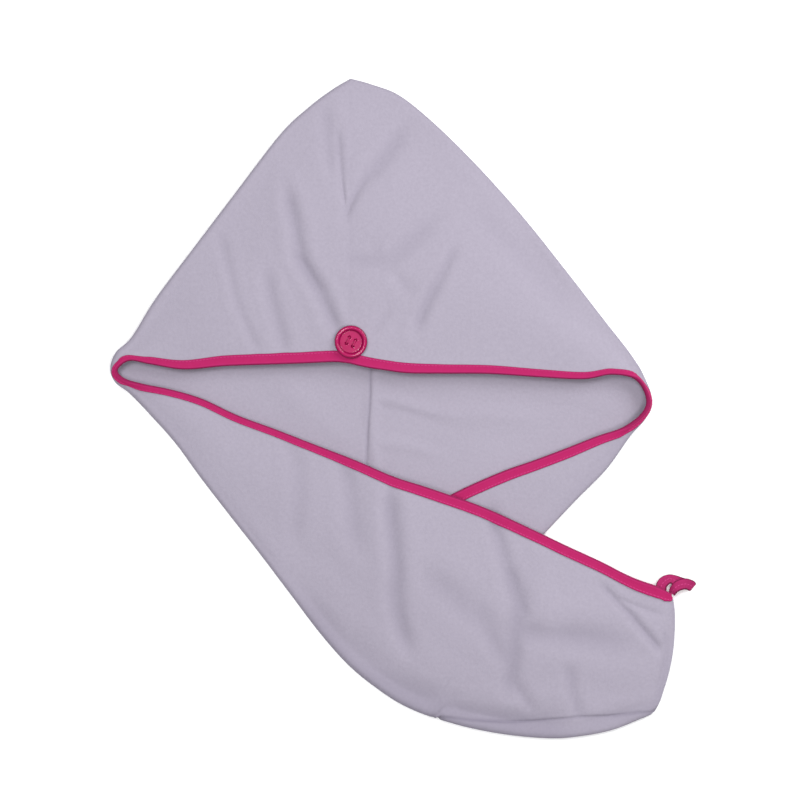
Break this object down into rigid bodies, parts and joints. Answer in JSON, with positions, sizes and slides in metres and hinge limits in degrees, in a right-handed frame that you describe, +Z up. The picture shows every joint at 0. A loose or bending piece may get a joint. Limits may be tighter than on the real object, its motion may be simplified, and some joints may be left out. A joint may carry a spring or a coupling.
{
  "type": "hair turban towel",
  "caption": "Soft fleece hair turban, laid flat with its bound mouth up: a pointed pouch for the head, a long tail to twist, a button over the forehead and a tape loop at the tail's tip.",
  "frame": {"origin": "on the surface the turban lies on, at the middle of its bounding box", "axes": "+Z up from the surface, through the thickness of the lying cloth; +Y towards the tip of the crown, along the longest side of the bounding box; +X towards the tip of the tail"},
  "size_m": [0.4693, 0.5285, 0.0208],
  "materials": {
    "fleece": "soft matte microfibre fleece, lilac grey",
    "binding": "matte elastic tape, magenta",
    "button": "polished, magenta",
    "thread": "twisted sewing thread, magenta"
  },
  "bodies": {
    "root": {"left_panel": "fleece", "right_panel": "fleece", "mouth_binding": "binding", "button": "button", "button_thread": "thread", "button_loop": "binding"}
  },
  "joints": []
}
